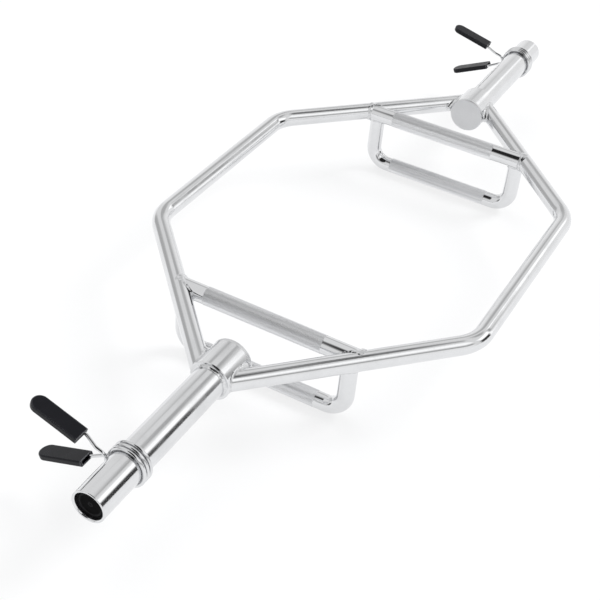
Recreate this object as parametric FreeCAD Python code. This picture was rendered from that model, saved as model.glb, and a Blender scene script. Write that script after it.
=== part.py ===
import FreeCAD, Part
import math
import os

from FreeCAD import Vector

# Hex trap bar: a hexagonal lifting frame with two plate sleeves, two pairs of handles and two spring clips.
# Millimetres, +Z up. X runs along the sleeves, and the origin is on the floor under the bar's middle.
# Left is -X, right is +X, front is +Y and rear is -Y.

# Whole bar
bar_length = 1524.0
cut_overrun = 20.0

# Frame: two bent tubes, each a rail with a leg at either end
frame_tube_diameter = 30.0
frame_tube_wall = 4.0
rail_spacing = 560.0
rail_corner_spacing = 393.0
frame_bend_radius = 70.0
leg_angle = 43.0

# Hubs, where the legs and the sleeve meet
hub_diameter = 63.5
hub_face_spacing = 851.4
hub_length = 61.0
hub_disc_thickness = 6.0
hub_edge_chamfer = 1.0

# Sleeves, which carry the weight plates
sleeve_diameter = 50.0
sleeve_wall = 4.0
sleeve_rim_round = 1.2
sleeve_mouth_round = 2.6
spigot_depth = 2.0
spigot_gap = 0.1

# Plugs that close the sleeves' outer ends
cap_recess = 5.5
cap_disc_thickness = 3.0
cap_skirt_length = 14.0
cap_skirt_wall = 2.0
cap_edge_chamfer = 0.6
cap_gap = 0.1

# Handles: a straight tube in the frame's plane and a dropped loop below it, at either end
top_handle_spacing = 656.0
top_handle_diameter = 29.0
top_handle_wall = 3.5
drop_handle_offset = 5.0
drop_tube_diameter = 27.0
drop_tube_wall = 3.0
drop_depth = 102.0
drop_upright_inset = 12.2
drop_bend_radius = 31.0

# Weld beads
hub_bead_radius = 6.5
handle_bead = 2.5
sleeve_bead_width = 4.0
sleeve_bead_rise = 3.0
bead_dip_share = 0.16

# Spring clips: one wire with a coil round the sleeve and two arms that stand out from it
wire_diameter = 5.0
coil_clearance = 0.85
coil_pitch = 6.6
coil_turns = 3
coil_hand = -1
quarters_per_turn = 4
gap_points_per_edge = 12
arm_bend_radius = 11.0
arm_crank_radius = 8.0
arm_crank_margin = 3.5
arm_half_spread = 19.5
left_clip_angle = -1.25
right_clip_angle = -6.0
left_clip_inset = 86.5
right_clip_inset = 63.6

# Clip grips: flat plastic covers with a pocket for the arm's looped end
grip_reach = 149.5
grip_shift = 3.75
grip_length = 80.0
grip_width = 26.0
grip_thickness = 9.0
grip_edge_round = 2.2
loop_spacing = 13.0
loop_end_margin = 8.0
loop_return_margin = 8.0
pocket_gap = 0.3

# Turns, in degrees
full_turn = 360
quarter_turn = 90

# Sizes that follow from those above
axis_height = drop_depth + drop_tube_diameter / 2
frame_tube_radius = frame_tube_diameter / 2
corner_x = rail_corner_spacing / 2
corner_y = rail_spacing / 2
leg_slope = math.tan(math.radians(leg_angle))
leg_axis_x = corner_x + corner_y / leg_slope
hub_radius = hub_diameter / 2
hub_inner_x = hub_face_spacing / 2
hub_outer_x = hub_inner_x + hub_length
hub_body_x = hub_inner_x + hub_disc_thickness
sleeve_radius = sleeve_diameter / 2
sleeve_bore_radius = sleeve_radius - sleeve_wall
spigot_radius = sleeve_radius - spigot_depth
hub_bore_radius = spigot_radius + spigot_gap
sleeve_root_x = hub_outer_x + sleeve_bead_width
sleeve_end_x = bar_length / 2
top_handle_x = top_handle_spacing / 2
top_handle_radius = top_handle_diameter / 2
top_handle_end_y = (leg_axis_x - top_handle_x) * leg_slope
drop_handle_x = top_handle_x + drop_handle_offset
drop_tube_radius = drop_tube_diameter / 2
drop_upright_y = (leg_axis_x - drop_handle_x) * leg_slope - drop_upright_inset
wire_radius = wire_diameter / 2
coil_radius = sleeve_radius + coil_clearance + wire_radius
arm_bend_reach = coil_radius + arm_bend_radius
arm_bend_turn = math.degrees(math.asin(arm_bend_radius / arm_bend_reach))
arm_start_radius = arm_bend_reach * math.cos(math.radians(arm_bend_turn))
arm_root_radius = arm_start_radius + wire_diameter
coil_sweep = full_turn * coil_turns + 2 * arm_half_spread - 2 * arm_bend_turn
coil_length = coil_pitch * coil_sweep / full_turn
grip_inner_radius = grip_reach - grip_length

origin = Vector(0, 0, 0)
x_axis = Vector(1, 0, 0)
y_axis = Vector(0, 1, 0)
z_axis = Vector(0, 0, 1)
axis_point = Vector(0, 0, axis_height)


# Shared shapes

def cylinder(start, end, radius):
    """A round bar from one point to another."""
    run = end - start
    return Part.makeCylinder(radius, run.Length, start, run)


def turned(profile):
    """A solid of revolution about the sleeves' axis, from points given as (distance along X, radius)."""
    points = [axis_point + x_axis * x + z_axis * radius for x, radius in profile]
    points.append(points[0])
    face = Part.Face(Part.makePolygon(points))
    return face.revolve(axis_point, x_axis, full_turn)


def front_and_rear(shape):
    """A piece at the front with its mirror image at the rear, as two separate solids."""
    return Part.makeCompound([shape, shape.mirror(origin, y_axis)])


def rounded_path(points, radius):
    """Straight runs through the points, joined by tangent arcs of one radius."""
    edges = []
    start = points[0]
    for before, corner, after in zip(points, points[1:], points[2:]):
        way_in = (corner - before).normalize()
        way_out = (after - corner).normalize()
        half_turn = way_in.getAngle(way_out) / 2
        setback = radius * math.tan(half_turn)
        arc_start = corner - way_in * setback
        arc_end = corner + way_out * setback
        inward = (way_out - way_in).normalize()
        arc_middle = corner + inward * (radius / math.cos(half_turn) - radius)
        edges.append(Part.LineSegment(start, arc_start).toShape())
        edges.append(Part.Arc(arc_start, arc_middle, arc_end).toShape())
        start = arc_end
    edges.append(Part.LineSegment(start, points[-1]).toShape())
    return edges


def swept(edges, radius):
    """A round bar along a path of tangent edges."""
    path = Part.Wire(edges)
    first = edges[0]
    start = first.valueAt(first.FirstParameter)
    heading = first.tangentAt(first.FirstParameter)
    section = Part.Wire([Part.makeCircle(radius, start, heading)])
    return path.makePipeShell([section], True, False)


def tube(edges, radius, wall):
    """A hollow tube along a path of tangent edges."""
    return swept(edges, radius).cut(swept(edges, radius - wall))


# Frame

def front_leg(radius):
    """A round bar along the right front leg, from the corner to the sleeves' axis."""
    corner = axis_point + x_axis * corner_x + y_axis * corner_y
    return cylinder(corner, axis_point + x_axis * leg_axis_x, radius)


def rear_leg(radius):
    """A round bar along the right rear leg."""
    return front_leg(radius).mirror(origin, y_axis)


def hub_bar(radius, inner_x, outer_x):
    """A round bar on the sleeves' axis at the right end of the frame."""
    return cylinder(axis_point + x_axis * inner_x, axis_point + x_axis * outer_x, radius)


def long_hub():
    """The right hub's outside, run on past everything that is cut to fit it."""
    return hub_bar(hub_radius, corner_x, leg_axis_x + hub_diameter)


def front_frame_tube():
    """The front rail with its two legs, hollow, with ends cut to fit the hubs."""
    points = [
        axis_point - x_axis * leg_axis_x,
        axis_point - x_axis * corner_x + y_axis * corner_y,
        axis_point + x_axis * corner_x + y_axis * corner_y,
        axis_point + x_axis * leg_axis_x,
    ]
    path = rounded_path(points, frame_bend_radius)
    bent = tube(path, frame_tube_radius, frame_tube_wall)
    return bent.cut(long_hub()).cut(long_hub().mirror(origin, x_axis))


# Hubs and sleeves

def hub():
    """The hub's thick tube. Its outer end is bevelled inside, to take the sleeve's weld."""
    profile = [
        (hub_body_x, hub_bore_radius),
        (hub_body_x, hub_radius),
        (hub_outer_x - hub_edge_chamfer, hub_radius),
        (hub_outer_x, hub_radius - hub_edge_chamfer),
        (hub_outer_x, sleeve_radius + sleeve_bead_rise),
        (hub_outer_x - sleeve_bead_width, hub_bore_radius),
    ]
    return turned(profile)


def hub_disc():
    """The flat plate that closes the hub's inner end."""
    profile = [
        (hub_inner_x, 0),
        (hub_body_x, 0),
        (hub_body_x, hub_radius),
        (hub_inner_x + hub_edge_chamfer, hub_radius),
        (hub_inner_x, hub_radius - hub_edge_chamfer),
    ]
    return turned(profile)


def sleeve():
    """The plate sleeve: a tube with a thinner spigot inside the hub, a rounded rim and a wider-rounded mouth."""
    profile = [
        (hub_body_x, sleeve_bore_radius),
        (hub_body_x, spigot_radius),
        (sleeve_root_x, spigot_radius),
        (sleeve_root_x, sleeve_radius),
        (sleeve_end_x, sleeve_radius),
        (sleeve_end_x, sleeve_bore_radius),
    ]
    barrel = turned(profile)
    ends = [edge for edge in barrel.Edges if edge.BoundBox.XMin > sleeve_end_x - sleeve_rim_round]
    rim = [edge for edge in ends if edge.BoundBox.YLength > 2 * sleeve_radius - sleeve_wall]
    mouth = [edge for edge in ends if edge.BoundBox.YLength < 2 * sleeve_radius - sleeve_wall]
    return barrel.makeFillet(sleeve_mouth_round, mouth).makeFillet(sleeve_rim_round, rim)


def sleeve_weld():
    """The weld that fills the bevel between the hub and the sleeve, with a hollow face."""
    root = axis_point + x_axis * (hub_outer_x - sleeve_bead_width) + z_axis * hub_bore_radius
    foot = axis_point + x_axis * sleeve_root_x + z_axis * hub_bore_radius
    low = axis_point + x_axis * sleeve_root_x + z_axis * sleeve_radius
    high = axis_point + x_axis * hub_outer_x + z_axis * (sleeve_radius + sleeve_bead_rise)
    slope_normal = x_axis * sleeve_bead_rise + z_axis * sleeve_bead_width
    dip = (low + high) / 2 - slope_normal * bead_dip_share
    outline = [
        Part.LineSegment(root, foot).toShape(),
        Part.LineSegment(foot, low).toShape(),
        Part.Arc(low, dip, high).toShape(),
        Part.LineSegment(high, root).toShape(),
    ]
    return Part.Face(Part.Wire(outline)).revolve(axis_point, x_axis, full_turn)


def sleeve_cap():
    """The plastic plug: a flat disc set back from the rim, with a skirt that holds it in the bore."""
    face_x = sleeve_end_x - cap_recess
    back_x = face_x - cap_disc_thickness
    skirt_x = back_x - cap_skirt_length
    plug_radius = sleeve_bore_radius - cap_gap
    profile = [
        (face_x, 0),
        (face_x, plug_radius - cap_edge_chamfer),
        (face_x - cap_edge_chamfer, plug_radius),
        (skirt_x, plug_radius),
        (skirt_x, plug_radius - cap_skirt_wall),
        (back_x, plug_radius - cap_skirt_wall),
        (back_x, 0),
    ]
    return turned(profile)


# Handles

def handle_bar(radius):
    """A round bar along the right top handle, from leg to leg."""
    middle = axis_point + x_axis * top_handle_x
    return cylinder(middle - y_axis * top_handle_end_y, middle + y_axis * top_handle_end_y, radius)


def front_upright(radius):
    """A round bar along the right drop handle's front upright, up to the frame's plane."""
    top = axis_point + x_axis * drop_handle_x + y_axis * drop_upright_y
    return cylinder(top - z_axis * (drop_depth - drop_bend_radius), top, radius)


def top_handle():
    """A straight hollow tube with both ends cut to fit the legs."""
    bar = handle_bar(top_handle_radius).cut(handle_bar(top_handle_radius - top_handle_wall))
    return bar.cut(front_leg(frame_tube_radius)).cut(rear_leg(frame_tube_radius))


def drop_handle():
    """A hollow tube bent to a U, with both tops cut to fit the handle and the legs above."""
    middle = axis_point + x_axis * drop_handle_x
    low_middle = middle - z_axis * drop_depth
    side = y_axis * drop_upright_y
    path = rounded_path([middle - side, low_middle - side, low_middle + side, middle + side], drop_bend_radius)
    loop = tube(path, drop_tube_radius, drop_tube_wall)
    loop = loop.cut(handle_bar(top_handle_radius))
    return loop.cut(front_leg(frame_tube_radius)).cut(rear_leg(frame_tube_radius))


# Weld beads of the frame

def hub_welds():
    """The hollow beads that fill the corner between each leg and the hub."""
    hub_outside = hub_bar(hub_radius, hub_inner_x - hub_length, hub_outer_x + hub_length)
    leg = front_leg(frame_tube_radius)
    joined = hub_outside.fuse(leg)
    seam = [edge for edge in joined.Edges if isinstance(edge.Curve, Part.BSplineCurve)]
    bead = joined.makeFillet(hub_bead_radius, seam).cut(hub_outside).cut(leg)
    reach = hub_bar(hub_diameter, hub_inner_x + hub_edge_chamfer, hub_outer_x - hub_edge_chamfer)
    return front_and_rear(largest_solid(bead.common(reach)))


def handle_welds():
    """The beads where each end of the top handle, the leg and the drop handle's upright meet."""
    wide_handle = handle_bar(top_handle_radius + handle_bead)
    wide_leg = front_leg(frame_tube_radius + handle_bead)
    wide_upright = front_upright(drop_tube_radius + handle_bead)
    bead = wide_handle.common(wide_leg)
    bead = bead.fuse([wide_upright.common(wide_handle), wide_upright.common(wide_leg)])
    for joined in (handle_bar(top_handle_radius), front_leg(frame_tube_radius), front_upright(drop_tube_radius)):
        bead = bead.cut(joined)
    return front_and_rear(largest_solid(bead))


def largest_solid(shape):
    """The biggest piece of a cut shape."""
    return max(shape.Solids, key=lambda solid: solid.Volume)


# Spring clips

def outward(angle):
    """The direction straight out from the sleeves' axis. The angle runs from +Y towards +Z."""
    turn = math.radians(angle)
    return y_axis * math.cos(turn) + z_axis * math.sin(turn)


def round_axis(x, radius, angle):
    """A point round the sleeves' axis."""
    return axis_point + x_axis * x + outward(angle) * radius


def coil_heading(angle):
    """The wire's direction along the coil, from its lower arm to its upper arm."""
    climb = coil_hand * coil_pitch / (2 * math.pi * coil_radius)
    return (outward(angle + quarter_turn) + x_axis * climb).normalize()


def tangent_arcs(start, start_heading, end, end_heading):
    """Two arcs from one point and direction to another, meeting smoothly halfway."""
    chord = end - start
    spread = 2 * (1 - start_heading.dot(end_heading))
    lean = chord.dot(start_heading + end_heading)
    reach = (math.sqrt(lean * lean + spread * chord.dot(chord)) - lean) / spread
    first_control = start + start_heading * reach
    last_control = end - end_heading * reach
    meeting = (first_control + last_control) / 2
    return [arc_by_control(start, first_control, meeting), arc_by_control(meeting, last_control, end)]


def arc_by_control(start, control, end):
    """The arc whose end tangents meet at the control point."""
    middle = (start + end) / 2
    half_chord = (end - start).Length / 2
    rise = control - middle
    half_turn = math.atan2(rise.Length, half_chord)
    crown = middle + rise.normalize() * (half_chord * math.tan(half_turn / 2))
    return Part.Arc(start, crown, end).toShape()


def arm_roots(middle_x, clip_angle):
    """Where the lower and the upper arm stand out from the coil, as (X, angle)."""
    reach = coil_hand * (coil_length / 2 + coil_pitch * arm_bend_turn / full_turn)
    return (middle_x - reach, clip_angle - arm_half_spread), (middle_x + reach, clip_angle + arm_half_spread)


def coil_path(middle_x, clip_angle):
    """The coil's centreline: a straight root, a bend, the turns, a bend and a straight root."""
    (lower_x, lower_angle), (upper_x, upper_angle) = arm_roots(middle_x, clip_angle)
    lower_out = outward(lower_angle)
    upper_out = outward(upper_angle)
    lower_bend = round_axis(lower_x, arm_start_radius, lower_angle)
    upper_bend = round_axis(upper_x, arm_start_radius, upper_angle)
    stops = [(lower_bend, -lower_out)]
    steps = coil_turns * quarters_per_turn
    for index in range(steps + 1):
        share = index / steps
        angle = lower_angle + arm_bend_turn + coil_sweep * share
        x = middle_x + coil_hand * (coil_length * share - coil_length / 2)
        stops.append((round_axis(x, coil_radius, angle), coil_heading(angle)))
    stops.append((upper_bend, upper_out))
    edges = [Part.LineSegment(lower_bend + lower_out * wire_diameter, lower_bend).toShape()]
    for (start, start_heading), (end, end_heading) in zip(stops, stops[1:]):
        edges.extend(tangent_arcs(start, start_heading, end, end_heading))
    edges.append(Part.LineSegment(upper_bend, upper_bend + upper_out * wire_diameter).toShape())
    return edges


def clip_coil(middle_x, clip_angle):
    """The turns round the sleeve, as one unbroken wire."""
    return swept(coil_path(middle_x, clip_angle), wire_radius)


def arm_path(root, grip_x, loop_side):
    """An arm's centreline: out, over to the grip's middle, round a loop inside it and part of the way back."""
    root_x, angle = root
    back_x = grip_x + loop_side * loop_spacing
    loop_radius = grip_reach - loop_end_margin - loop_spacing / 2
    out_end = round_axis(grip_x, loop_radius, angle)
    crown = round_axis((grip_x + back_x) / 2, loop_radius + loop_spacing / 2, angle)
    back_start = round_axis(back_x, loop_radius, angle)
    back_end = round_axis(back_x, grip_inner_radius + loop_return_margin, angle)
    points = [
        round_axis(root_x, arm_root_radius, angle),
        round_axis(root_x, arm_root_radius + arm_crank_margin, angle),
        round_axis(grip_x, grip_inner_radius - arm_crank_margin, angle),
        out_end,
    ]
    edges = rounded_path(points, arm_crank_radius)
    edges.append(Part.Arc(out_end, crown, back_start).toShape())
    edges.append(Part.LineSegment(back_start, back_end).toShape())
    return edges


def clip_arm(root, grip_x, loop_side):
    """The cranked wire from the coil to the grip, with the loop that holds the grip on."""
    return swept(arm_path(root, grip_x, loop_side), wire_radius)


def tongue(inner, outer, width, thickness):
    """A flat slab along +Y with a square inner end and a round outer end."""
    half = width / 2
    turn_y = outer - half
    outline = [
        Part.LineSegment(Vector(-half, turn_y, 0), Vector(-half, inner, 0)).toShape(),
        Part.LineSegment(Vector(-half, inner, 0), Vector(half, inner, 0)).toShape(),
        Part.LineSegment(Vector(half, inner, 0), Vector(half, turn_y, 0)).toShape(),
        Part.Arc(Vector(half, turn_y, 0), Vector(0, outer, 0), Vector(-half, turn_y, 0)).toShape(),
    ]
    slab = Part.Face(Part.Wire(outline)).extrude(z_axis * thickness)
    slab.translate(-z_axis * (thickness / 2))
    return slab


def clip_grip(root, grip_x, loop_side):
    """A rounded plastic cover, open at its inner end, with a pocket for the wire's loop."""
    cover = tongue(grip_inner_radius, grip_reach, grip_width, grip_thickness)
    level = [edge for edge in cover.Edges if edge.BoundBox.ZLength < grip_thickness / 2]
    rims = [edge for edge in level if edge.BoundBox.YMax > grip_inner_radius + grip_length / 2]
    cover = cover.makeFillet(grip_edge_round, rims)
    room = wire_diameter + 2 * pocket_gap
    pocket_end = grip_reach - loop_end_margin + wire_radius + pocket_gap
    pocket = tongue(grip_inner_radius - cut_overrun, pocket_end, loop_spacing + room, room)
    grip = cover.cut(pocket)
    grip.rotate(origin, x_axis, root[1])
    grip.translate(axis_point + x_axis * (grip_x + loop_side * loop_spacing / 2))
    return grip


def clip_nodes(side_name, middle_x, clip_angle, loop_side):
    """The five pieces of one spring clip. Each grip sits a little towards its own end of the coil."""
    nodes = {side_name + "_clip_coil": clip_coil(middle_x, clip_angle)}
    lower_root, upper_root = arm_roots(middle_x, clip_angle)
    lower_grip_x = middle_x - coil_hand * grip_shift
    upper_grip_x = middle_x + coil_hand * grip_shift
    arms = (("lower", lower_root, lower_grip_x), ("upper", upper_root, upper_grip_x))
    for arm_name, root, grip_x in arms:
        nodes[side_name + "_clip_" + arm_name + "_arm"] = clip_arm(root, grip_x, loop_side)
        nodes[side_name + "_clip_" + arm_name + "_grip"] = clip_grip(root, grip_x, loop_side)
    return nodes


def least_coil_gap():
    """The least distance between the surfaces of neighbouring turns, measured on points of the centreline."""
    points = []
    for edge in coil_path(0, 0):
        points.extend(edge.discretize(gap_points_per_edge))
    runs = [0]
    for before, after in zip(points, points[1:]):
        runs.append(runs[-1] + (after - before).Length)
    half_turn_run = math.pi * coil_radius
    gaps = []
    for index, point in enumerate(points):
        for other in range(index + 1, len(points)):
            if runs[other] - runs[index] > half_turn_run:
                gaps.append((points[other] - point).Length)
    return min(gaps) - wire_diameter


# The whole bar

def bar_nodes():
    """Every piece of the bar by its name."""
    front = front_frame_tube()
    nodes = {"front_frame_tube": front, "rear_frame_tube": front.mirror(origin, y_axis)}
    ends = (
        hub,
        hub_disc,
        hub_welds,
        sleeve,
        sleeve_weld,
        sleeve_cap,
        top_handle,
        drop_handle,
        handle_welds,
    )
    for make in ends:
        right = make()
        nodes["right_" + make.__name__] = right
        nodes["left_" + make.__name__] = right.mirror(origin, x_axis)
    nodes.update(clip_nodes("left", left_clip_inset - sleeve_end_x, left_clip_angle, -1))
    nodes.update(clip_nodes("right", sleeve_end_x - right_clip_inset, right_clip_angle, 1))
    return nodes


os.makedirs("parts", exist_ok=True)
for node, shape in bar_nodes().items():
    shape.exportStep(os.path.join("parts", node + ".step"))
    print(node, shape.isValid(), len(shape.Solids), round(shape.Volume))
print("least gap between the coil's turns", round(least_coil_gap(), 2))
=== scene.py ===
# %% [markdown]
# # A chrome hex trap bar
# The bar's solids come from the imported model, in metres, and are never moved or reshaped here.
# This lesson places the camera and the light, gives the solids their finishes, and adds the
# detail that a solid leaves out, such as the knurling and the spring coils round the sleeves.

# %% Load the imported model
import bpy
import math
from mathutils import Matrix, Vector


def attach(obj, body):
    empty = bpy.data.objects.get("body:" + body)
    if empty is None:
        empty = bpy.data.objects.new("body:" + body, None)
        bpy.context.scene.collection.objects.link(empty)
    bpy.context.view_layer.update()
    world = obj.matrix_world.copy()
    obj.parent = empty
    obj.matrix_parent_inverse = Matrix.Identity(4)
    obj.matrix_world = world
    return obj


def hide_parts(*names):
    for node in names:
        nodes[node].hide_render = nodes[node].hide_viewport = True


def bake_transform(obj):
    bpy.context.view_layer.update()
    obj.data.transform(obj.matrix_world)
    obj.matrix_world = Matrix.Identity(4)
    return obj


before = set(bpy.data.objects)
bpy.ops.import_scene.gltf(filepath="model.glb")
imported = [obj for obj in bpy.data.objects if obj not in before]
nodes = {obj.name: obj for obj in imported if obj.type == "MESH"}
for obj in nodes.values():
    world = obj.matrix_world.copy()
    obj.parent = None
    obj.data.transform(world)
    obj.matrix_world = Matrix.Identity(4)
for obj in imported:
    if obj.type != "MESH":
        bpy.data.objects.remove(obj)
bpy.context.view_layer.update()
scene = bpy.context.scene
scene.view_settings.view_transform = "Standard"
print("solids in the model:", len(nodes))

# %% [markdown]
# ## The camera
# The bar lies across the picture from the lower left to the upper right, seen from above its
# left end. A camera can be placed by eye, but here its place, turn and lens were found by
# lining up the edges of the tubes. That keeps the proportions true, with a square picture and a
# lens that needs no shift.

# %% Place the camera
CAMERA_PLACE = (-1.5616, -0.6349, 1.2398)
CAMERA_TURN = (51.959, -4.602, -61.004)
CAMERA_LENS = 73.04
SENSOR_WIDTH = 36.0

bpy.ops.object.select_all(action="DESELECT")
bpy.ops.object.camera_add(
    location=CAMERA_PLACE, rotation=[math.radians(turn) for turn in CAMERA_TURN],
)
camera = bpy.context.object
camera.name = "photo_camera"
camera.data.sensor_width = SENSOR_WIDTH
camera.data.lens = CAMERA_LENS
scene.camera = camera
print("camera height above the floor:", round(camera.location.z, 3))

# %% [markdown]
# ## Node helpers
# Every finish is a small network of shader nodes. In the node editor each node is added, set
# and joined by hand. These helpers take the same steps in code, so that each finish reads as a
# short list.

# %% Helpers that add and join nodes
def add_node(tree, kind, **values):
    """A node of one kind. Values named as a socket go to the socket, and the rest to the node."""
    node = tree.nodes.new(kind)
    for name, value in values.items():
        if name.title() in node.inputs:
            node.inputs[name.title()].default_value = value
        else:
            setattr(node, name, value)
    return node


def join(tree, source, target):
    """A link from one socket to another."""
    tree.links.new(source, target)


def feed(tree, value, socket):
    """A link into a socket, or a plain value set on it."""
    if isinstance(value, bpy.types.NodeSocket):
        join(tree, value, socket)
    else:
        socket.default_value = value


print("helpers that add and join nodes are ready")

# %% Helpers that reckon with numbers
def math_node(tree, operation, first, second):
    """One operation on two sockets or numbers."""
    node = tree.nodes.new("ShaderNodeMath")
    node.operation = operation
    for value, socket in zip((first, second), node.inputs):
        feed(tree, value, socket)
    return node.outputs[0]


def remap(tree, value, low, high, to_low=0.0, to_high=1.0, smooth=False):
    """A value moved from one range to another."""
    node = tree.nodes.new("ShaderNodeMapRange")
    node.interpolation_type = "SMOOTHSTEP" if smooth else "LINEAR"
    join(tree, value, node.inputs["Value"])
    ends = {"From Min": low, "From Max": high, "To Min": to_low, "To Max": to_high}
    for name, number in ends.items():
        node.inputs[name].default_value = number
    return node.outputs["Result"]


print("helpers that reckon with numbers are ready")

# %% Helpers that mix
# The Mix node has sockets for each kind of value, so they are found by their place in the list.
FIRST_NUMBER, SECOND_NUMBER, MIXED_NUMBER = 2, 3, 0
FIRST_COLOUR, SECOND_COLOUR, MIXED_COLOUR = 6, 7, 2


def mix_numbers(tree, factor, first, second):
    """A socket's number mixed with a plain one by a mask."""
    node = tree.nodes.new("ShaderNodeMix")
    join(tree, factor, node.inputs[0])
    join(tree, first, node.inputs[FIRST_NUMBER])
    node.inputs[SECOND_NUMBER].default_value = second
    return node.outputs[MIXED_NUMBER]


def mix_colours(tree, factor, first, second):
    """Two colours mixed by a mask. A colour is a socket or three numbers."""
    node = tree.nodes.new("ShaderNodeMix")
    node.data_type = "RGBA"
    join(tree, factor, node.inputs[0])
    for colour, place in ((first, FIRST_COLOUR), (second, SECOND_COLOUR)):
        plain = not isinstance(colour, bpy.types.NodeSocket)
        feed(tree, (*colour, 1.0) if plain else colour, node.inputs[place])
    return node.outputs[MIXED_COLOUR]


def mix_shaders(tree, factor, first, second):
    """Two shaders mixed by a mask."""
    node = tree.nodes.new("ShaderNodeMixShader")
    for source, socket in zip((factor, first, second), node.inputs):
        join(tree, source, socket)
    return node.outputs[0]


print("helpers that mix are ready")

# %% Helpers for node groups
def new_group(name, inputs, outputs):
    """An empty node group with named sockets, given as (name, socket kind)."""
    group = bpy.data.node_groups.new(name, "ShaderNodeTree")
    for way, sockets in (("INPUT", inputs), ("OUTPUT", outputs)):
        for socket_name, kind in sockets:
            group.interface.new_socket(socket_name, in_out=way, socket_type=kind)
    return group, group.nodes.new("NodeGroupInput"), group.nodes.new("NodeGroupOutput")


def place_group(tree, group, **values):
    """A node group placed in a tree, with its own values."""
    node = tree.nodes.new("ShaderNodeGroup")
    node.node_tree = group
    for name, value in values.items():
        feed(tree, value, node.inputs[name.replace("_", " ").title()])
    return node


print("helpers for node groups are ready")

# %% Helpers for materials
def new_material(name, metallic=0.0):
    """A new material, with its node tree and its shader."""
    material = bpy.data.materials.new(name)
    material.use_nodes = True
    tree = material.node_tree
    shader = tree.nodes["Principled BSDF"]
    shader.inputs["Metallic"].default_value = metallic
    return material, tree, shader


def object_place(tree, scale=(1.0, 1.0, 1.0)):
    """The place on the object, in metres, stretched by a scale."""
    coordinates = tree.nodes.new("ShaderNodeTexCoord")
    mapping = tree.nodes.new("ShaderNodeMapping")
    mapping.inputs["Scale"].default_value = scale
    join(tree, coordinates.outputs["Object"], mapping.inputs["Vector"])
    return mapping.outputs["Vector"]


def add_relief(tree, shader, height, **values):
    """A bump on a shader, from a socket with its height."""
    relief = add_node(tree, "ShaderNodeBump", **values)
    join(tree, height, relief.inputs["Height"])
    join(tree, relief.outputs[0], shader.inputs["Normal"])


print("helpers for materials are ready")

# %% [markdown]
# ## The studio
# Chrome has hardly a colour of its own: it shows the room. A studio could be built from lamps
# and boards, but each board would also light the floor and cast a shadow. So the room is painted
# on the sky: one pale level all round, with soft panels in it, some bright and some dark. They
# give the long light and dark streaks on the tubes. One node group makes one panel.

# %% A soft panel in the sky, as a node group
FLOAT = "NodeSocketFloat"
FULL_TURN = 360.0
DEGREES_PER_HEIGHT = 90.0


def make_panel_group():
    """A soft-edged patch of the sky, by its bearing in degrees and its height from -1 to 1."""
    names = ("Bearing", "Height", "At Bearing", "Half Width", "Low", "High", "Softness")
    group, given, result = new_group(
        "Soft panel", [(name, FLOAT) for name in names], [("Mask", FLOAT)],
    )
    get = given.outputs

    def less(first, second):
        return math_node(group, "SUBTRACT", first, second)

    away = math_node(group, "ABSOLUTE", less(get["Bearing"], get["At Bearing"]), 0.0)
    nearest = math_node(group, "MINIMUM", away, less(FULL_TURN, away))
    side_edge = math_node(group, "MULTIPLY", get["Softness"], DEGREES_PER_HEIGHT)
    within = math_node(group, "DIVIDE", less(get["Half Width"], nearest), side_edge)
    above = math_node(group, "DIVIDE", less(get["Height"], get["Low"]), get["Softness"])
    below = math_node(group, "DIVIDE", less(get["High"], get["Height"]), get["Softness"])
    least = math_node(group, "MINIMUM", within, math_node(group, "MINIMUM", above, below))
    join(group, remap(group, least, -0.5, 0.5, smooth=True), result.inputs["Mask"])
    return group


panel_group = make_panel_group()
print("panel group has", len(panel_group.nodes), "nodes")

# %% Directions in the sky
SKY_LEVEL = 0.84

world = bpy.data.worlds.new("white_studio")
scene.world = world
world.use_nodes = True
sky = world.node_tree
sky.nodes.clear()
direction = sky.nodes.new("ShaderNodeSeparateXYZ")
coordinates = sky.nodes.new("ShaderNodeTexCoord")
join(sky, coordinates.outputs["Generated"], direction.inputs[0])
bearing = math_node(sky, "ARCTAN2", direction.outputs["Y"], direction.outputs["X"])
bearing = math_node(sky, "MULTIPLY", bearing, math.degrees(1.0))
plan_x = math_node(sky, "MULTIPLY", direction.outputs["X"], DEGREES_PER_HEIGHT)
level = math_node(sky, "ADD", SKY_LEVEL, 0.0)
print("the sky's plain level:", SKY_LEVEL)

# %% [markdown]
# ### The panels
# Most panels stand round the bar, and a bearing and two heights say where. Two lie along a line
# of constant X, where a bearing would bend them, so they are laid out in plan, by the X and the
# Y of the direction. Each panel is mixed over those before it.

# %% Hang the panels
PANELS = [
    # bearing, half width, low, high, softness, level
    (0.0, 48.0, -0.10, 0.36, 0.10, 0.97),
    (-41.0, 28.0, 0.40, 0.64, 0.08, 1.42),
    (-60.0, 12.5, -0.05, 0.35, 0.07, 0.04),
    (-17.0, 14.0, 0.71, 0.82, 0.05, 0.45),
    (24.0, 16.0, 0.50, 0.66, 0.08, 0.50),
    (-104.0, 24.0, 0.60, 0.84, 0.08, 1.25),
    (-113.0, 26.0, 0.33, 0.50, 0.08, 0.42),
    (-113.0, 26.0, -0.10, 0.25, 0.08, 1.0),
    (80.0, 16.0, 0.06, 0.46, 0.12, 0.50),
    (-38.0, 36.0, 0.91, 0.96, 0.04, 0.15),
    (128.0, 12.0, 0.02, 0.24, 0.07, 0.10),
    (-160.0, 14.0, 0.04, 0.26, 0.07, 0.12),
]
PLAN_PANELS = [
    # x, half width, from y, to y, softness, level
    (0.725, 0.042, -0.58, -0.29, 0.06, 0.36),
    (0.73, 0.06, -0.78, -0.64, 0.05, 1.3),
]


def hang_panel(level, across, along, at, half_width, low, high, softness, panel_level):
    """The sky's level with one more soft panel in it."""
    panel = place_group(
        sky, panel_group, bearing=across, height=along, at_bearing=at,
        half_width=half_width, low=low, high=high, softness=softness,
    )
    return mix_numbers(sky, panel.outputs["Mask"], level, panel_level)


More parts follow.
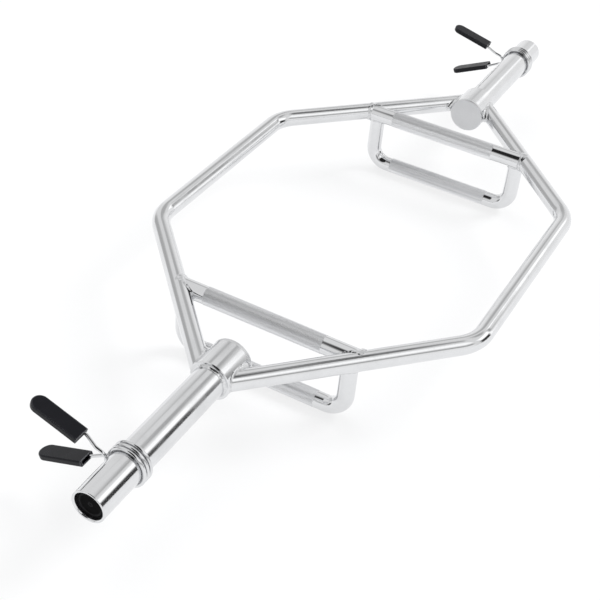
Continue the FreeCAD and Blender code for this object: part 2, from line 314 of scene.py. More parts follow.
for panel in PANELS:
    level = hang_panel(level, bearing, direction.outputs["Z"], *panel)
for at_x, half_width, *rest in PLAN_PANELS:
    level = hang_panel(
        level, plan_x, direction.outputs["Y"],
        DEGREES_PER_HEIGHT * at_x, DEGREES_PER_HEIGHT * half_width, *rest,
    )
print("panels in the room:", len(PANELS) + len(PLAN_PANELS))

# %% [markdown]
# ### The dark side of the room
# Overhead and towards the camera the room is dark, and the tubes mirror that as black streaks.
# A panel with straight edges doesn't fit there, so this is a soft oval, laid out in plan and kept
# to the upper half of the sky.

# %% A dark oval overhead
DARK_MIDDLE = (-0.38, -0.06)
DARK_REACH = (0.59, 0.40)
DARK_EDGE = (0.75, 1.25)
DARK_LEVEL = 0.02

squares = []
for axis, middle, reach in zip("XY", DARK_MIDDLE, DARK_REACH):
    share = remap(sky, direction.outputs[axis], middle - reach, middle + reach, -1.0, 1.0)
    share.node.clamp = False
    squares.append(math_node(sky, "MULTIPLY", share, share))
within = remap(sky, math_node(sky, "ADD", *squares), *DARK_EDGE, 1.0, 0.0, smooth=True)
overhead = math_node(sky, "GREATER_THAN", direction.outputs["Z"], 0.0)
level = mix_numbers(sky, math_node(sky, "MULTIPLY", within, overhead), level, DARK_LEVEL)
print("nodes in the sky:", len(sky.nodes))

# %% [markdown]
# ### What each ray sees
# Only mirror rays see the room. The camera sees plain white behind the bar, and all other light
# comes from a plain, slightly blue sky. So the streaks can be set without changing the shadows
# or the background.

# %% One sky for each kind of ray
WHITE = (1.0, 1.0, 1.0, 1.0)
SKY_TINT = (0.955, 0.975, 1.0, 1.0)
DIFFUSE_LEVEL = 0.62

mirror_sky = add_node(sky, "ShaderNodeBackground", color=WHITE)
join(sky, level, mirror_sky.inputs["Strength"])
plain_sky = add_node(sky, "ShaderNodeBackground", color=SKY_TINT, strength=DIFFUSE_LEVEL)
white_sky = add_node(sky, "ShaderNodeBackground", color=WHITE, strength=1.0)
ray = sky.nodes.new("ShaderNodeLightPath")
room = mix_shaders(
    sky, ray.outputs["Is Glossy Ray"], plain_sky.outputs[0], mirror_sky.outputs[0],
)
seen_sky = mix_shaders(sky, ray.outputs["Is Camera Ray"], room, white_sky.outputs[0])
join(sky, seen_sky, sky.nodes.new("ShaderNodeOutputWorld").inputs[0])
print("light from the plain sky:", DIFFUSE_LEVEL)

# %% [markdown]
# ## The floor
# The bar stands on a white sheet that runs on into the white background. A plain white floor
# would come out grey, with heavy shadows. So to the camera and to mirrors it is mostly a flat
# white, with a share of honest shading left in, which keeps the bar's faint shadow.

# %% Lay the floor
FLOOR_SIZE = 30.0
FLOOR_DROP = -0.0004
FLOOR_COLOUR = (0.97, 0.97, 0.975, 1.0)
FLOOR_WHITE_SHARE = 0.72

bpy.ops.object.select_all(action="DESELECT")
bpy.ops.mesh.primitive_plane_add(size=FLOOR_SIZE, location=(0.0, 0.0, FLOOR_DROP))
floor = bpy.context.object
floor.name = "floor"
floor_paint = bpy.data.materials.new("white_floor")
floor_paint.use_nodes = True
tree = floor_paint.node_tree
tree.nodes.clear()
shaded = add_node(tree, "ShaderNodeBsdfDiffuse", color=FLOOR_COLOUR)
bright = add_node(tree, "ShaderNodeEmission", color=WHITE, strength=1.0)
ray = tree.nodes.new("ShaderNodeLightPath")
seen = math_node(tree, "MAXIMUM", ray.outputs["Is Camera Ray"], ray.outputs["Is Glossy Ray"])
seen = math_node(tree, "MAXIMUM", seen, ray.outputs["Is Transmission Ray"])
white_share = math_node(tree, "MULTIPLY", seen, FLOOR_WHITE_SHARE)
both = mix_shaders(tree, white_share, shaded.outputs[0], bright.outputs[0])
join(tree, both, tree.nodes.new("ShaderNodeOutputMaterial").inputs[0])
floor.data.materials.append(floor_paint)
print("floor laid at", FLOOR_DROP, "m")

# %% [markdown]
# ## The lamps
# The shadows are soft and lie mostly to one side. Sun lamps with a wide angle give that, and
# their place doesn't matter. A key lamp shines from the right, and a weaker and softer one fills
# in from the far left. Mirrors don't see them, because the room already holds what they show.

# %% Hang the lamps
LAMP_PLACE = (0.0, 0.0, 3.0)
UPRIGHT = 90.0
LAMPS = {
    # bearing, height in degrees, softness in degrees, strength
    "key_lamp": (-40.0, 40.0, 26.0, 1.7),
    "fill_lamp": (60.0, 58.0, 45.0, 0.75),
}

for name, (lamp_bearing, lamp_height, softness, strength) in LAMPS.items():
    tilt = math.radians(UPRIGHT - lamp_height)
    bpy.ops.object.light_add(
        type="SUN", location=LAMP_PLACE, rotation=(0.0, tilt, math.radians(lamp_bearing)),
    )
    lamp = bpy.context.object
    lamp.name = name
    lamp.data.angle = math.radians(softness)
    lamp.data.energy = strength
    lamp.visible_glossy = False
    print(name, "strength:", lamp.data.energy)

# %% [markdown]
# ## Chrome, and what the polishing leaves
# The tubes were ground, polished and plated. Plated steel mirrors the room, but not perfectly:
# the surface waves a little, hands leave a duller haze, and the last polish leaves hairlines
# along the tube. A single grey with one roughness would look like foil. So one group makes
# these three, and each chrome finish takes its own amounts.

# %% Polish marks, as a node group
VECTOR = "NodeSocketVector"
WAVE_SCALE = 22.0
WAVE_RISE = 0.6
LINE_RISE = 0.012


def make_polish_group():
    """Haze from handling, hairlines from polishing and slow waves, on a stretched place."""
    inputs = [
        ("Place", VECTOR), ("Line Place", VECTOR), ("Haze Scale", FLOAT), ("Line Scale", FLOAT),
    ]
    outputs = [("Haze", FLOAT), ("Lines", FLOAT), ("Height", FLOAT)]
    group, given, result = new_group("Polish marks", inputs, outputs)
    haze = add_node(group, "ShaderNodeTexNoise", detail=4.0, roughness=0.6)
    join(group, given.outputs["Place"], haze.inputs["Vector"])
    join(group, given.outputs["Haze Scale"], haze.inputs["Scale"])
    haze_mask = remap(group, haze.outputs[0], 0.42, 0.72, smooth=True)
    lines = add_node(group, "ShaderNodeTexNoise", detail=3.0, roughness=0.7)
    join(group, given.outputs["Line Place"], lines.inputs["Vector"])
    join(group, given.outputs["Line Scale"], lines.inputs["Scale"])
    line_mask = remap(group, lines.outputs[0], 0.3, 0.7)
    waves = add_node(group, "ShaderNodeTexNoise", scale=WAVE_SCALE, detail=1.0)
    join(group, given.outputs["Place"], waves.inputs["Vector"])
    slow = math_node(group, "MULTIPLY", waves.outputs[0], WAVE_RISE)
    fine = math_node(group, "MULTIPLY", line_mask, LINE_RISE)
    join(group, haze_mask, result.inputs["Haze"])
    join(group, line_mask, result.inputs["Lines"])
    join(group, math_node(group, "ADD", slow, fine), result.inputs["Height"])
    return group


polish_group = make_polish_group()
print("polish group has", len(polish_group.nodes), "nodes")

# %% Chrome finishes
HAZE_SCALE = 16.0
LINE_SCALE = 1.0
LINE_DULLNESS = 0.5
CLEAR_CHROME = (0.775, 0.78, 0.79)
HAZY_CHROME = (0.735, 0.74, 0.75)
CLEAR_WIRE = (0.76, 0.765, 0.775)
HAZY_WIRE = (0.68, 0.685, 0.695)
EVEN_LINES = (260.0, 260.0, 260.0)
FINE_LINES = (600.0, 600.0, 600.0)
LINES_ALONG_X = (3.0, 420.0, 420.0)
LINES_ALONG_Y = (420.0, 3.0, 420.0)


def chrome(name, clear, hazy, lines, smooth, rough, bump):
    """A chrome finish: two tones, the way its hairlines run, and the range of its roughness."""
    material, tree, shader = new_material(name, metallic=1.0)
    marks = place_group(
        tree, polish_group, place=object_place(tree), line_place=object_place(tree, lines),
        haze_scale=HAZE_SCALE, line_scale=LINE_SCALE,
    )
    from_lines = math_node(tree, "MULTIPLY", marks.outputs["Lines"], LINE_DULLNESS)
    dull = math_node(tree, "ADD", marks.outputs["Haze"], from_lines)
    join(tree, mix_colours(tree, dull, clear, hazy), shader.inputs["Base Color"])
    roughness = remap(tree, dull, 0.0, 1.0 + LINE_DULLNESS, smooth, rough)
    join(tree, roughness, shader.inputs["Roughness"])
    add_relief(tree, shader, marks.outputs["Height"], strength=bump, distance=0.001)
    return material


frame_chrome = chrome(
    "frame_chrome", CLEAR_CHROME, HAZY_CHROME, EVEN_LINES, smooth=0.09, rough=0.2, bump=0.12,
)
sleeve_chrome = chrome(
    "sleeve_chrome", CLEAR_CHROME, HAZY_CHROME, LINES_ALONG_X, smooth=0.12, rough=0.24, bump=0.12,
)
handle_chrome = chrome(
    "handle_chrome", CLEAR_CHROME, HAZY_CHROME, LINES_ALONG_Y, smooth=0.05, rough=0.12, bump=0.12,
)
wire_chrome = chrome(
    "wire_chrome", CLEAR_WIRE, HAZY_WIRE, FINE_LINES, smooth=0.05, rough=0.12, bump=0.1,
)
print("chrome finishes share the group:", polish_group.name)

# %% [markdown]
# ## Weld beads
# A bead is laid down in overlapping drops, and the plating follows its ripples. They could be
# modelled drop by drop, but they are small and the beads' shapes are already in the solids. So
# rounded cells a few millimetres across give that rippled, softer shine.

# %% Weld finish
RIPPLE_SCALE = 260.0
WELD_CREST = (0.77, 0.775, 0.785)
WELD_DIP = (0.62, 0.625, 0.635)

weld_chrome, tree, shader = new_material("weld_chrome", metallic=1.0)
ripples = add_node(tree, "ShaderNodeTexVoronoi", feature="SMOOTH_F1", scale=RIPPLE_SCALE)
join(tree, object_place(tree), ripples.inputs["Vector"])
dip = remap(tree, ripples.outputs["Distance"], 0.0, 0.8, smooth=True)
join(tree, mix_colours(tree, dip, WELD_CREST, WELD_DIP), shader.inputs["Base Color"])
join(tree, remap(tree, dip, 0.0, 1.0, 0.1, 0.24), shader.inputs["Roughness"])
add_relief(tree, shader, dip, strength=0.35, distance=0.0006, invert=True)
print("weld ripples per metre:", RIPPLE_SCALE)

# %% [markdown]
# ## The hub discs
# The flat discs were plated but not polished, so they are an even satin grey. A high roughness
# alone would look like paint. A fine random grain scatters the reflection as the metal does.

# %% Satin finish
GRAIN_SCALE = 900.0
CLOUD_SCALE = 60.0
SATIN_LIGHT = (0.80, 0.805, 0.815)
SATIN_DARK = (0.74, 0.745, 0.755)

satin_disc, tree, shader = new_material("satin_disc", metallic=1.0)
grain = add_node(tree, "ShaderNodeTexNoise", scale=GRAIN_SCALE, detail=3.0)
cloud = add_node(tree, "ShaderNodeTexNoise", scale=CLOUD_SCALE, detail=2.0)
place = object_place(tree)
for noise in (grain, cloud):
    join(tree, place, noise.inputs["Vector"])
tone = mix_colours(tree, cloud.outputs[0], SATIN_LIGHT, SATIN_DARK)
join(tree, tone, shader.inputs["Base Color"])
join(tree, remap(tree, grain.outputs[0], 0.3, 0.7, 0.42, 0.56), shader.inputs["Roughness"])
add_relief(tree, shader, grain.outputs[0], strength=0.2, distance=0.0002)
print("satin grains per metre:", GRAIN_SCALE)

# %% [markdown]
# ## Black plastic
# The grips and the sleeve plugs are moulded. The mould's fine spark grain breaks up the shine,
# handling polishes it in patches, and a paler colour is painted along the edges as a highlight.
# Edges could be painted by hand. A Bevel node finds them instead: near an edge, its rounded
# normal leaves the true one.

# %% Mould grain, as a node group
PATCH_SCALE = 45.0


def make_grain_group():
    """The fine grain of a mould, the patches where it is worn smooth, and the edges that take a
    painted highlight.
    """
    inputs = [("Place", VECTOR), ("Grain Scale", FLOAT), ("Edge Radius", FLOAT)]
    outputs = [("Grain", FLOAT), ("Worn", FLOAT), ("Edge", FLOAT)]
    group, given, result = new_group("Mould grain", inputs, outputs)
    fine = add_node(group, "ShaderNodeTexNoise", detail=2.0)
    join(group, given.outputs["Place"], fine.inputs["Vector"])
    join(group, given.outputs["Grain Scale"], fine.inputs["Scale"])
    patches = add_node(group, "ShaderNodeTexNoise", scale=PATCH_SCALE, detail=3.0)
    join(group, given.outputs["Place"], patches.inputs["Vector"])
    worn = remap(group, patches.outputs[0], 0.4, 0.65, smooth=True)
    rounded = group.nodes.new("ShaderNodeBevel")
    join(group, given.outputs["Edge Radius"], rounded.inputs["Radius"])
    surface = group.nodes.new("ShaderNodeNewGeometry")
    agree = add_node(group, "ShaderNodeVectorMath", operation="DOT_PRODUCT")
    join(group, rounded.outputs[0], agree.inputs[0])
    join(group, surface.outputs["Normal"], agree.inputs[1])
    # Mask of the edges, where the plastics get a painted highlight.
    edge = remap(group, agree.outputs["Value"], 0.995, 0.93, smooth=True)
    for source, name in ((fine.outputs[0], "Grain"), (worn, "Worn"), (edge, "Edge")):
        join(group, source, result.inputs[name])
    return group


grain_group = make_grain_group()
print("grain group has", len(grain_group.nodes), "nodes")

# %% Plastic finishes
EDGE_RADIUS = 0.0022
# Each "edge" tone is a painted highlight along the plastic's edges.
GRIP_TONES = {
    "fresh": (0.0032, 0.0034, 0.0058),
    "worn": (0.0046, 0.0048, 0.0074),
    "edge": (0.13, 0.13, 0.14),
}
CAP_TONES = {
    "fresh": (0.0014, 0.0014, 0.0016),
    "worn": (0.0024, 0.0024, 0.0026),
    "edge": (0.03, 0.03, 0.031),
}


def plastic(name, tones, rough, worn_rough, grain_scale, shine):
    """A moulded plastic, from its fresh to its worn look, with a painted highlight on its edges."""
    material, tree, shader = new_material(name)
    grain = place_group(
        tree, grain_group, place=object_place(tree),
        grain_scale=grain_scale, edge_radius=EDGE_RADIUS,
    )
    handled = mix_colours(tree, grain.outputs["Worn"], tones["fresh"], tones["worn"])
    # Painted highlight: the edges take the paler edge tone.
    edge_highlighted = mix_colours(tree, grain.outputs["Edge"], handled, tones["edge"])
    join(tree, edge_highlighted, shader.inputs["Base Color"])
    roughness = remap(tree, grain.outputs["Worn"], 0.0, 1.0, rough, worn_rough)
    join(tree, roughness, shader.inputs["Roughness"])
    shader.inputs["Specular IOR Level"].default_value = shine
    add_relief(tree, shader, grain.outputs["Grain"], strength=0.12, distance=0.0002)
    return material


grip_plastic = plastic(
    "grip_plastic", GRIP_TONES, rough=0.34, worn_rough=0.26, grain_scale=1500.0, shine=0.2,
)
cap_plastic = plastic(
    "cap_plastic", CAP_TONES, rough=0.42, worn_rough=0.34, grain_scale=1200.0, shine=0.02,
)
print("plastics share the group:", grain_group.name)

# %% [markdown]
# ## Dressing the solids
# Each solid of the model keeps its shape and gets the finish of its kind. That could be done one
# by one, but the name of a solid says what it is, so the finish is chosen by how the name ends.

# %% Give each solid its finish
FINISHES = {
    "frame_tube": (frame_chrome, "chrome_tube"),
    "hub": (sleeve_chrome, "chrome_tube"),
    "sleeve": (sleeve_chrome, "chrome_tube"),
    "top_handle": (handle_chrome, "knurled_grip"),
    "drop_handle": (handle_chrome, "knurled_grip"),
    "welds": (weld_chrome, "weld_bead"),
    "sleeve_weld": (weld_chrome, "weld_bead"),
    "hub_disc": (satin_disc, "satin_disc"),
    "sleeve_cap": (cap_plastic, "cap_plastic"),
    "arm": (wire_chrome, "spring_wire"),
    "coil": (wire_chrome, "spring_wire"),
    "grip": (grip_plastic, "grip_plastic"),
}


def dress(piece, finish, slot):
    """One finish on a piece. The slot is not used."""
    piece.data.materials.clear()
    piece.data.materials.append(finish)


for name, solid in nodes.items():
    ending = max((end for end in FINISHES if name.endswith(end)), key=len)
    dress(solid, *FINISHES[ending])
print("dressed", len(nodes), "solids")

# %% [markdown]
# ## Helpers for modelling
# New pieces are modelled as by hand: a primitive is added, its points are picked by their place
# and shaped in edit mode, and modifiers finish it. These helpers wrap the steps that come back.

# %% Helpers that shape a piece
MERGE_DISTANCE = 1e-6


def start_piece(name):
    """Names the piece that an operator has just added, and puts its place into its mesh."""
    piece = bpy.context.object
    piece.name = name
    piece.data.name = name
    bpy.ops.object.transform_apply(location=True, rotation=True, scale=True)
    return piece


def edit_all():
    """Opens the active piece for editing, with all of it selected."""
    bpy.ops.object.mode_set(mode="EDIT")
    bpy.ops.mesh.select_all(action="SELECT")


def pick(piece, chosen):
    """Selects, in edit mode, the points for which a test holds, and counts them."""
    bpy.ops.object.mode_set(mode="EDIT")
    bpy.ops.mesh.select_mode(type="VERT")
    bpy.ops.mesh.select_all(action="DESELECT")
    bpy.ops.object.mode_set(mode="OBJECT")
    count = 0
    for point in piece.data.vertices:
        point.select = bool(chosen(point))
        count += point.select
    bpy.ops.object.mode_set(mode="EDIT")
    return count


def close_up(piece, smooth_angle):
    """Ends editing: merges doubles, turns the faces outwards and smooths shallow angles."""
    edit_all()
    bpy.ops.mesh.remove_doubles(threshold=MERGE_DISTANCE)
    bpy.ops.mesh.normals_make_consistent(inside=False)
    bpy.ops.object.mode_set(mode="OBJECT")
    bpy.ops.object.shade_smooth_by_angle(angle=math.radians(smooth_angle))
    return piece


def apply_modifier(piece, kind, **values):
    """Adds a modifier with its values and applies it."""
    modifier = piece.modifiers.new(kind.lower(), kind)
    for name, value in values.items():
        setattr(modifier, name, value)
    bpy.ops.object.modifier_apply(modifier=modifier.name)


print("helpers that shape a piece are ready")

# %% Helpers that copy a piece
ORIGIN = (0.0, 0.0, 0.0)


def copy_piece(piece, name):
    """A copy with its own mesh, open for editing with all of it selected."""
    bpy.ops.object.select_all(action="DESELECT")
    piece.select_set(True)
    bpy.context.view_layer.objects.active = piece
    bpy.ops.object.duplicate()
    copy = bpy.context.object
    copy.name = name
    copy.data.name = name
    edit_all()
    return copy


def copy_along_x(piece, name, distance):
    """A copy moved along the bar."""
    copy = copy_piece(piece, name)
    bpy.ops.transform.translate(value=(distance, 0.0, 0.0))
    bpy.ops.object.mode_set(mode="OBJECT")
    return copy


def mirrored(piece, name, across, smooth_angle):
    """A copy mirrored by a scale of -1 on one axis."""
    copy = copy_piece(piece, name)
    bpy.ops.transform.resize(value=across, center_override=ORIGIN)
    return close_up(copy, smooth_angle)


print("helpers that copy a piece are ready")

# %% [markdown]
# ## The bent frame tubes
# Each half of the hexagon is one length of tube, bent twice and coped at its ends so that it
# sits round the hubs. The model's tube has this shape, but the way its triangles shade breaks at
# the bends, and a mirror finish shows that as a hard line. So the tube is made again in the way
# it is bent: a circle is extruded along a leg, spun round the bend, and extruded along the rail.

# %% Bend a frame tube
AXIS_HEIGHT = 0.1155
TUBE_RADIUS = 0.015
TUBE_POINTS = 80
TUBE_SMOOTH_ANGLE = 30
RAIL_Y = 0.28
CORNER_X = 0.1965
LEG_ANGLE = 43.0
TUBE_BEND_RADIUS = 0.07
TUBE_BEND_STEPS = 22
COPE_LENGTH = 0.075


def bent_tube(name):
    """The front half of the hexagon, bent from hub to hub, before its ends are coped."""
    turn = math.radians(LEG_ANGLE)
    leg = Vector((math.cos(turn), math.sin(turn), 0.0))
    far_leg = Vector((leg.x, -leg.y, 0.0))
    tangent = TUBE_BEND_RADIUS * math.tan(turn / 2)
    leg_length = RAIL_Y / leg.y
    long_run = leg_length - tangent - COPE_LENGTH
    bend_x, bend_y = CORNER_X - tangent, RAIL_Y - TUBE_BEND_RADIUS
    bpy.ops.object.select_all(action="DESELECT")
    bpy.ops.mesh.primitive_circle_add(
        vertices=TUBE_POINTS, radius=TUBE_RADIUS, rotation=leg.to_track_quat("Z", "Y").to_euler(),
        location=Vector((-CORNER_X, RAIL_Y, AXIS_HEIGHT)) - leg * leg_length,
    )
    tube = start_piece(name)
    edit_all()

    def run(way):
        bpy.ops.mesh.extrude_edges_move(TRANSFORM_OT_translate={"value": way})

    def bend(x):
        bpy.ops.mesh.spin(
            steps=TUBE_BEND_STEPS, angle=turn,
            axis=(0.0, 0.0, 1.0), center=(x, bend_y, AXIS_HEIGHT),
        )

    run(leg * COPE_LENGTH)
    run(leg * long_run)
    bend(-bend_x)
    run(Vector((2 * bend_x, 0.0, 0.0)))
    bend(bend_x)
    run(far_leg * long_run)
    run(far_leg * COPE_LENGTH)
    bpy.ops.mesh.select_all(action="SELECT")
    bpy.ops.mesh.fill_holes(sides=0)
    return close_up(tube, TUBE_SMOOTH_ANGLE)


front_tube = bent_tube("front_bent_tube")
print("faces of the bent tube:", len(front_tube.data.polygons))

# %% [markdown]
# ### The coped ends
# A leg is cut to the curve of the hub that it is welded to. On the bench that takes a hole saw.
# Here a Boolean takes away a bar as thick as the hubs. The rear half is a mirrored copy.

# %% Cope the ends and mirror the tube
HUB_RADIUS = 0.03175
COPE_BAR_POINTS = 128
COPE_BAR_LENGTH = 1.4
LOW_CORNER, HIGH_CORNER = 0, 6


def cope_ends(tube):
    """Cuts the tube's ends to the curve of the hubs."""
    bpy.ops.object.select_all(action="DESELECT")
    bpy.ops.mesh.primitive_cylinder_add(
        vertices=COPE_BAR_POINTS, radius=HUB_RADIUS, depth=COPE_BAR_LENGTH,
        location=(0.0, 0.0, AXIS_HEIGHT), rotation=(0.0, math.pi / 2, 0.0),
    )
    bar = bpy.context.object
    bpy.context.view_layer.objects.active = tube
    apply_modifier(tube, "BOOLEAN", operation="DIFFERENCE", solver="EXACT", object=bar)
    bpy.data.objects.remove(bar)
    tube.select_set(True)
    return close_up(tube, TUBE_SMOOTH_ANGLE)


def rounded_place(place):
    """A place to a tenth of a millimetre, for printing."""
    return [round(value, 4) for value in place]


def print_box(piece):
    """Prints the two far corners of the box round a piece."""
    box = piece.bound_box
    print(piece.name, "from", rounded_place(box[LOW_CORNER]), "to", rounded_place(box[HIGH_CORNER]))


cope_ends(front_tube)
rear_tube = mirrored(front_tube, "rear_bent_tube", (1.0, -1.0, 1.0), TUBE_SMOOTH_ANGLE)
for tube, node in ((front_tube, "front_frame_tube"), (rear_tube, "rear_frame_tube")):
    dress(tube, frame_chrome, "chrome_tube")
    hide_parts(node)
    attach(tube, "frame")
    print_box(tube)

# %% [markdown]
# ## Knurling
# The handles are rolled between two dies that press crossed grooves into them, which leaves
# rows of small pyramids. A bump would do from afar, but close up the edge of the handle would
# stay smooth, so the pyramids are modelled. Hands wear them bright in tracks along the handle.

# %% Knurled finish
TRACK_STRETCH = (230.0, 4.0, 230.0)
CREST_WEAR = 0.5
TRACK_WEAR = 0.6
KNURL_GROOVE = (0.66, 0.665, 0.68)
KNURL_WORN = (0.98, 0.985, 0.995)


def knurl_material():
    """Plated knurling: bright worn crests and duller grooves."""
    material, tree, shader = new_material("knurled_chrome", metallic=1.0)
    crest = add_node(tree, "ShaderNodeAttribute", attribute_name="crest").outputs["Fac"]
    tracks = add_node(tree, "ShaderNodeTexNoise", scale=1.0, detail=2.0)
    join(tree, object_place(tree, TRACK_STRETCH), tracks.inputs["Vector"])
    track = remap(tree, tracks.outputs[0], 0.35, 0.65)
    on_crests = math_node(tree, "MULTIPLY", crest, CREST_WEAR)
    in_tracks = math_node(tree, "MULTIPLY", track, TRACK_WEAR)
    worn = math_node(tree, "ADD", on_crests, in_tracks)
    join(tree, mix_colours(tree, worn, KNURL_GROOVE, KNURL_WORN), shader.inputs["Base Color"])
    join(tree, remap(tree, worn, 0.0, 1.0, 0.42, 0.24), shader.inputs["Roughness"])
    add_relief(tree, shader, tracks.outputs[0], strength=0.08, distance=0.0003)
    return material


knurled_chrome = knurl_material()
print("knurled finish reads the points' attribute: crest")

# %% [markdown]
# ### Rolling a band
# One row is a ring of a cylinder. An Array repeats it along the handle, every other point is then
# pushed out, and each square is folded along its groove. The ends are turned in and bridged by
# an inner wall that stays inside the tube, so the band is closed.

# %% Rows and pyramids
KNURL_POINTS = 112
KNURL_RISE = 0.00027
KNURL_FOOT = 0.00002
ROW_MERGE = 1e-5


def plain_rows(name, radius, from_y, step, rows):
    """Rows of plain squares round the Y axis."""
    bpy.ops.object.select_all(action="DESELECT")
    bpy.ops.mesh.primitive_cylinder_add(
        vertices=KNURL_POINTS, radius=radius + KNURL_FOOT, depth=step, end_fill_type="NOTHING",
        location=(0.0, from_y + step / 2, 0.0), rotation=(math.pi / 2, 0.0, 0.0),
    )
    band = start_piece(name)
    apply_modifier(
        band, "ARRAY", count=rows, use_relative_offset=False, use_constant_offset=True,
        constant_offset_displace=(0.0, step, 0.0),
        use_merge_vertices=True, merge_threshold=ROW_MERGE,
    )
    return band


def raise_pyramids(band, row, rows):
    """Pushes out every other point between the end rows, folds the squares, counts the points."""
    def is_crest(point):
        column = round(math.atan2(point.co.z, point.co.x) / (2 * math.pi) * KNURL_POINTS)
        return (column + row(point)) % 2 == 0 and 0 < row(point) < rows

    raised = pick(band, is_crest)
    bpy.ops.transform.shrink_fatten(value=KNURL_RISE)
    bpy.ops.mesh.select_all(action="SELECT")
    bpy.ops.mesh.quads_convert_to_tris(quad_method="SHORTEST_DIAGONAL", ngon_method="BEAUTY")
    return raised


print("pyramids round a handle:", KNURL_POINTS // 2)

# %% The inner wall and the marks of the crests
KNURL_WALL = 0.0012


def close_inside(band, row, rows, radius):
    """Turns both ends in and bridges them by a wall inside the tube."""
    inner = (radius - KNURL_WALL) / (radius + KNURL_FOOT)
    for end in (0, rows):
        pick(band, lambda point: row(point) == end)
        bpy.ops.mesh.extrude_edges_move()
        bpy.ops.transform.resize(value=(inner, 1.0, inner), center_override=ORIGIN)
    pick(band, lambda point: math.hypot(point.co.x, point.co.z) < radius - KNURL_WALL / 2)
    bpy.ops.mesh.bridge_edge_loops()


def mark_crests(band, x, height, radius):
    """Stores on each point how far out it stands, from 0 in a groove to 1 on a crest."""
    crest = band.data.attributes.new("crest", "FLOAT", "POINT")
    low, high = radius + KNURL_FOOT, radius + KNURL_FOOT + KNURL_RISE
    for point in band.data.vertices:
        out = math.hypot(point.co.x - x, point.co.z - height)
        crest.data[point.index].value = min(max((out - low) / (high - low), 0.0), 1.0)


print("the inner wall lies", KNURL_WALL, "m below the handle's surface")

# %% Knurled bands
KNURL_SMOOTH_ANGLE = 10
KNURLS = {
    # x, height, tube radius, from y, to y
    "top": (0.328, AXIS_HEIGHT, 0.0145, -0.095, 0.105),
    "drop": (0.333, 0.0135, 0.0135, -0.095, 0.100),
}


def knurled_band(name, x, height, radius, from_y, to_y):
    """A closed band of small pyramids round a handle."""
    side = 2 * math.pi * radius / KNURL_POINTS
    rows = round((to_y - from_y) / side)
    step = (to_y - from_y) / rows

    def row(point):
        return round((point.co.y - from_y) / step)

    band = plain_rows(name, radius, from_y, step, rows)
    raised = raise_pyramids(band, row, rows)
    close_inside(band, row, rows, radius)
    bpy.ops.mesh.select_all(action="SELECT")
    bpy.ops.transform.translate(value=(x, 0.0, height))
    close_up(band, KNURL_SMOOTH_ANGLE)
    mark_crests(band, x, height, radius)
    dress(band, knurled_chrome, "knurled_grip")
    print(name, "pyramids:", raised, "faces:", len(band.data.polygons))
    return band


for handle, (x, height, radius, from_y, to_y) in KNURLS.items():
    left_band = knurled_band("left_" + handle + "_knurling", -x, height, radius, from_y, to_y)
    right_band = copy_along_x(left_band, "right_" + handle + "_knurling", 2 * x)
    for band in (left_band, right_band):
        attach(band, "frame")

# %% [markdown]
# ## Spring coils
# A clip is one wire. When its grips are squeezed, the two ends of the coil turn round the
# sleeve by different amounts and its middle stays. A rigid coil would tear off its arms, so
# each coil is made in two halves that meet at its middle. A half starts as a circle, which a
# Screw winds along the sleeve, a Spin bends outwards and an extrusion ends.

# %% Measures of a coil
WIRE_RADIUS = 0.0025
COIL_RADIUS = 0.02835
COIL_PITCH = 0.0066
COIL_TURNS = 3
COIL_HAND = -1
BEND_RADIUS = 0.011
LEFT_CLIP_ANGLE = -1.25
ARM_HALF_SPREAD = 19.5
HALF_TURN = 180.0

bend_turn = math.degrees(math.asin(BEND_RADIUS / (COIL_RADIUS + BEND_RADIUS)))
half_sweep = HALF_TURN * COIL_TURNS + ARM_HALF_SPREAD - bend_turn
half_length = COIL_PITCH * (half_sweep + bend_turn) / FULL_TURN
middle_angle = LEFT_CLIP_ANGLE + HALF_TURN
print("half a coil sweeps", round(half_sweep, 1), "degrees over", round(half_length, 4), "m")

# %% Half a coil
WIRE_POINTS = 24
WIRE_SMOOTH_ANGLE = 40
STEPS_PER_TURN = 72
BEND_STEPS = 14
ROOT_LENGTH = 0.005
QUARTER_TURN = 90.0
LEFT_CLIP_X = -0.6755


def round_sleeve(angle, radius):
    """A point round the sleeve's axis. The angle runs from +Y towards +Z."""
    turn = math.radians(angle)
    return Vector((0.0, radius * math.cos(turn), radius * math.sin(turn)))


def coil_half(name, side):
    """Half the left coil, from its middle to the upper arm (side 1) or the lower one (side -1)."""
    steps = round(STEPS_PER_TURN * half_sweep / FULL_TURN)
    bpy.ops.object.select_all(action="DESELECT")
    bpy.ops.mesh.primitive_circle_add(
        vertices=WIRE_POINTS, radius=WIRE_RADIUS, location=round_sleeve(middle_angle, COIL_RADIUS),
        rotation=(math.radians(middle_angle), 0.0, 0.0),
    )
    piece = start_piece(name)
    apply_modifier(
        piece, "SCREW", axis="X", angle=math.radians(side * half_sweep),
        screw_offset=COIL_HAND * side * half_length,
        steps=steps, render_steps=steps, use_merge_vertices=False,
    )
    end_angle = middle_angle + side * half_sweep
    arm_angle = LEFT_CLIP_ANGLE + side * ARM_HALF_SPREAD
    last_ring = len(piece.data.vertices) - WIRE_POINTS
    pick(piece, lambda point: point.index >= last_ring)
    bpy.ops.mesh.spin(
        steps=BEND_STEPS, angle=math.radians(side * (QUARTER_TURN - bend_turn)),
        axis=(1.0, 0.0, 0.0), center=round_sleeve(end_angle, COIL_RADIUS + BEND_RADIUS),
    )
    root = round_sleeve(arm_angle, ROOT_LENGTH)
    bpy.ops.mesh.extrude_edges_move(TRANSFORM_OT_translate={"value": root})
    bpy.ops.mesh.select_all(action="SELECT")
    bpy.ops.mesh.fill_holes(sides=0)
    bpy.ops.transform.translate(value=(LEFT_CLIP_X, 0.0, AXIS_HEIGHT))
    close_up(piece, WIRE_SMOOTH_ANGLE)
    dress(piece, wire_chrome, "spring_wire")
    return piece


print("rings in half a coil:", round(STEPS_PER_TURN * half_sweep / FULL_TURN) + 1)

# %% [markdown]
# ### The right coil
# The right clip sits on its sleeve at another angle, so its copy is also turned.

# %% Copy and turn the right coils
RIGHT_CLIP_ANGLE = -6.0
RIGHT_CLIP_X = 0.6984


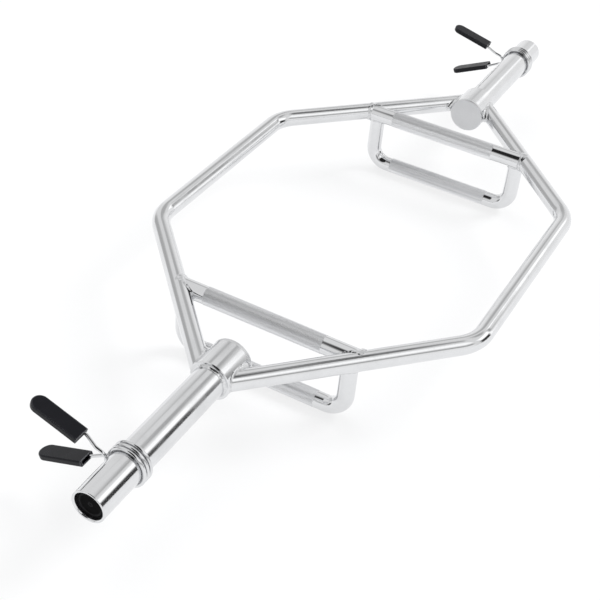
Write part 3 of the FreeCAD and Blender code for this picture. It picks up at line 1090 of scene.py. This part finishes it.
def turn_round_sleeve(piece, angle):
    """Turns a mesh round the sleeves' axis. With no window the operator turns the other way."""
    edit_all()
    bpy.ops.transform.rotate(
        value=-math.radians(angle), orient_axis="X", center_override=(0.0, 0.0, AXIS_HEIGHT),
    )
    bpy.ops.object.mode_set(mode="OBJECT")


def let_give(piece, clip):
    """Hides the clip's own coil, puts the half's place into its mesh and prints how far it reaches.
    """
    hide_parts(clip + "_coil")
    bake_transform(piece)
    farthest = max(piece.data.vertices, key=lambda point: point.co.y).co
    print(piece.name, "reaches", rounded_place(farthest))


for arm, side in (("upper", 1), ("lower", -1)):
    left_half = coil_half("left_clip_" + arm + "_turns", side)
    right_name = "right_clip_" + arm + "_turns"
    right_half = copy_along_x(left_half, right_name, RIGHT_CLIP_X - LEFT_CLIP_X)
    turn_round_sleeve(right_half, RIGHT_CLIP_ANGLE - LEFT_CLIP_ANGLE)
    let_give(left_half, "left_clip")
    let_give(right_half, "right_clip")

# %% [markdown]
# ## Moulding on the sleeve plugs
# The plugs' faces are set back in the sleeves and carry a moulded rim and the small mark of the
# mould's gate. They are shallow, but they catch the light, so they are modelled and not bumped.
# A circle is extruded loop by loop towards the middle, as on a lathe, and the other end's
# moulding is a mirrored copy.

# %% Plug mouldings
PLUG_FACE_X = 0.7565
PLUG_POINTS = 96
PLUG_SMOOTH_ANGLE = 35
MM_PER_METRE = 1000
PLUG_LOOPS = [
    # radius and rise above the plug's face, in millimetres
    (18.0, -0.15), (17.75, 0.40), (17.4, 0.60), (16.8, 0.60), (16.45, 0.40), (16.2, 0.08),
    (16.0, 0.08), (3.1, 0.08), (2.9, 0.08), (2.5, 0.36), (2.0, 0.50), (0.8, 0.54),
]


def plug_moulding(name):
    """The raised rim and gate mark of the left plug."""
    first_radius, first_rise = PLUG_LOOPS[0]
    bpy.ops.object.select_all(action="DESELECT")
    bpy.ops.mesh.primitive_circle_add(
        vertices=PLUG_POINTS, radius=first_radius / MM_PER_METRE, rotation=(0.0, math.pi / 2, 0.0),
        location=(-PLUG_FACE_X - first_rise / MM_PER_METRE, 0.0, AXIS_HEIGHT),
    )
    piece = start_piece(name)
    edit_all()
    for (radius, rise), (next_radius, next_rise) in zip(PLUG_LOOPS, PLUG_LOOPS[1:]):
        outwards = ((rise - next_rise) / MM_PER_METRE, 0.0, 0.0)
        bpy.ops.mesh.extrude_edges_move(TRANSFORM_OT_translate={"value": outwards})
        shrink = next_radius / radius
        bpy.ops.transform.resize(
            value=(1.0, shrink, shrink), center_override=(0.0, 0.0, AXIS_HEIGHT),
        )
    bpy.ops.mesh.select_all(action="SELECT")
    bpy.ops.mesh.fill_holes(sides=0)
    close_up(piece, PLUG_SMOOTH_ANGLE)
    dress(piece, cap_plastic, "cap_plastic")
    return piece


left_moulding = plug_moulding("left_plug_moulding")
right_moulding = mirrored(
    left_moulding, "right_plug_moulding", (-1.0, 1.0, 1.0), PLUG_SMOOTH_ANGLE,
)
for moulding in (left_moulding, right_moulding):
    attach(moulding, "frame")
    print_box(moulding)
